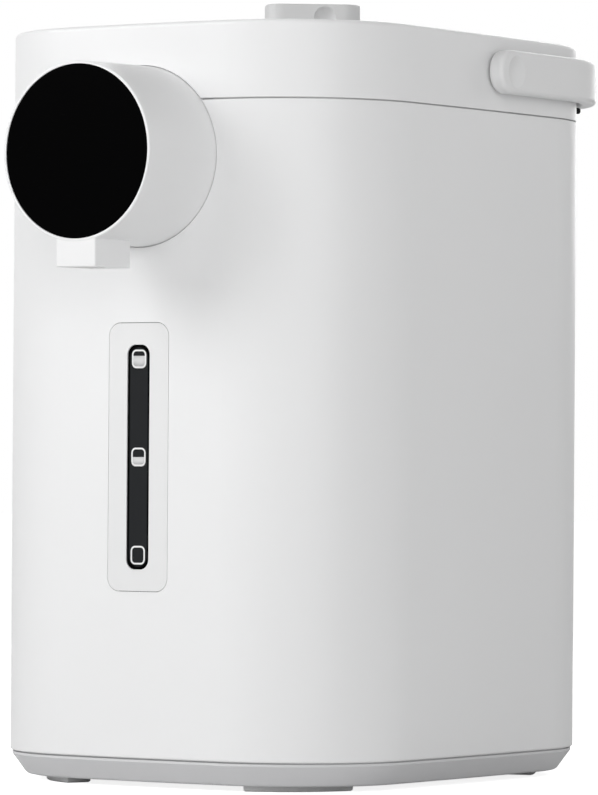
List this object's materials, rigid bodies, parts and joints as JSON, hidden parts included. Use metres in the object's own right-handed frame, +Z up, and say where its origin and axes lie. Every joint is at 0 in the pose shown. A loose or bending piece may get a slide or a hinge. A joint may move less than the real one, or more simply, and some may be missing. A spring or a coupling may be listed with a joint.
{
  "type": "hot water dispenser",
  "caption": "Upright electric hot water pot with a round spout head, level gauge, hinged lid with a twist lock and a swinging bail.",
  "frame": {"origin": "on the floor under the feet, at the middle of the pot's outline seen from above", "axes": "+Z up, -Y towards the spout and the level gauge, +X to the right of a viewer who faces that front"},
  "size_m": [0.2132, 0.294, 0.34],
  "materials": {
    "white_plastic": "satin",
    "base_plastic": "satin",
    "lid_plastic": "satin",
    "bail_plastic": "satin",
    "knob_plastic": "satin",
    "panel_plastic": "satin",
    "window_plastic": "smooth",
    "lens_plastic": "smooth",
    "foot_rubber": "matte",
    "stud_rubber": "matte",
    "silicone": "matte",
    "clear_tube": "smooth",
    "steel": "brushed",
    "aluminium": "satin",
    "brass": "satin",
    "nylon": "satin",
    "dark_plastic": "satin",
    "phenolic": "satin",
    "board": "satin",
    "felt": "matte"
  },
  "bodies": {
    "pot": {"base_cover": "base_plastic", "rubber_feet": "foot_rubber", "base_screws": "steel", "body_shell": "white_plastic", "collar": "white_plastic", "vessel": "steel", "vessel_base": "steel", "vessel_seal": "silicone", "vessel_screws": "steel", "insulation_sleeve": "felt", "heating_plate": "aluminium", "bottom_bracket": "steel", "thermal_cutout": "phenolic", "temperature_sensor": "brass", "pump_housing": "nylon", "pump_motor": "steel", "pump_cradle": "dark_plastic", "inlet_hose": "silicone", "lower_hose": "silicone", "level_tube": "clear_tube", "upper_hose": "silicone", "outlet_pipe": "nylon", "head_shell": "white_plastic", "display_lens": "lens_plastic", "display_board": "board", "outlet_nozzle": "nylon", "gauge_panel": "panel_plastic", "gauge_window": "window_plastic", "gauge_holder": "dark_plastic", "power_board": "board", "inlet_socket": "dark_plastic", "inlet_pins": "brass", "hinge_pin": "steel", "bail_pins": "nylon", "bail_washers": "nylon", "rest_studs": "stud_rubber"},
    "lid": {"lid_cover": "lid_plastic", "lid_pan": "steel", "lid_screws": "steel", "lid_seal": "silicone", "steam_vent": "dark_plastic", "steam_cap": "nylon"},
    "knob": {"lock_knob": "knob_plastic", "lock_pinion": "nylon", "knob_screw": "steel"},
    "bolt_right": {"bolt_right": "nylon"},
    "bolt_left": {"bolt_left": "nylon"},
    "bail": {"bail": "bail_plastic"},
    "impeller": {"pump_impeller": "nylon"}
  },
  "joints": [
    {"name": "lid_hinge", "type": "hinge", "parent": "pot", "child": "lid", "pos_m": [0, 0.12373, 0.317], "axis": [-1, 0, 0], "range_deg": [0, 95]},
    {"name": "knob_turn", "type": "hinge", "parent": "lid", "child": "knob", "pos_m": [0, 0.02845, 0.3226], "axis": [0, 0, 1], "range_deg": [0, 52]},
    {"name": "bolt_right_slide", "type": "slide", "parent": "lid", "child": "bolt_right", "axis": [1, 0, 0], "range_m": [0, 0.005]},
    {"name": "bolt_left_slide", "type": "slide", "parent": "lid", "child": "bolt_left", "axis": [-1, 0, 0], "range_m": [0, 0.005]},
    {"name": "bail_swing", "type": "hinge", "parent": "pot", "child": "bail", "pos_m": [0, 0.02845, 0.307], "axis": [1, 0, 0], "range_deg": [0, 150]},
    {"name": "impeller_spin", "type": "hinge", "parent": "pot", "child": "impeller", "pos_m": [-0.042, -0.06355, 0.027], "axis": [0, 1, 0], "continuous": true}
  ],
  "couplings": [
    {"joint": "bolt_right_slide", "follows": "knob_turn", "m_per_rad": 0.0055},
    {"joint": "bolt_left_slide", "follows": "knob_turn", "m_per_rad": 0.0055}
  ]
}
